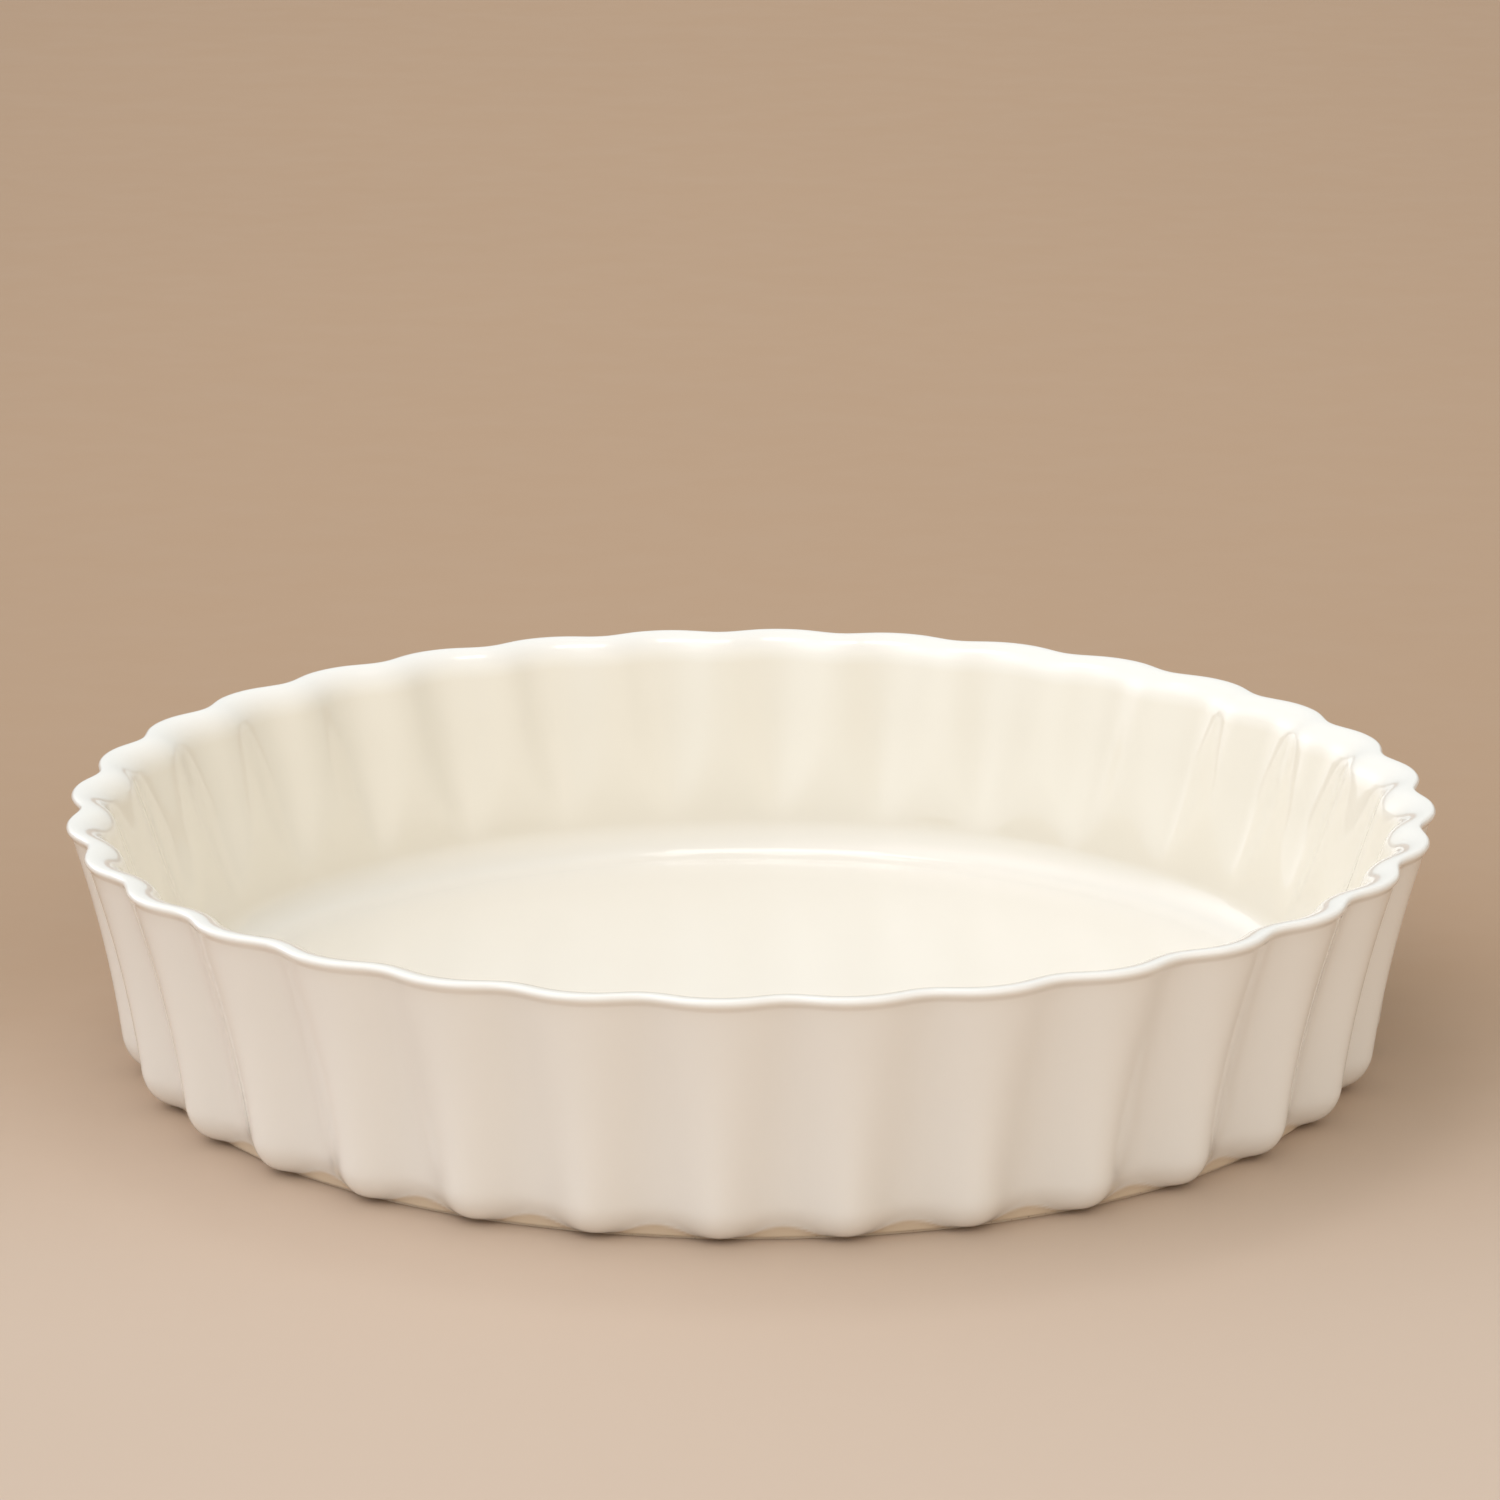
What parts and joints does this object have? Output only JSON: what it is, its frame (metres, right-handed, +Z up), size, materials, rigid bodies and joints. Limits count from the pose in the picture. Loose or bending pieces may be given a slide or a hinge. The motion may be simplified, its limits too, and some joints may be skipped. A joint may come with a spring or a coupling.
{
  "type": "fluted quiche dish",
  "caption": "Round deep quiche and tart dish of glazed stoneware, with a flared fluted wall, a smooth round lip and a flat floor.",
  "frame": {"origin": "centre of the foot ring, on the surface that the dish stands on", "axes": "+Z up along the dish's axis, with the crest of one flute pointing along -Y"},
  "size_m": [0.28, 0.28, 0.053],
  "materials": {
    "stoneware": "bare fired clay, matt and fine-grained",
    "glaze": "glossy cream glaze"
  },
  "bodies": {
    "root": {"stoneware_body": "stoneware", "glaze_coat": "glaze", "underside_glaze": "glaze"}
  },
  "joints": []
}
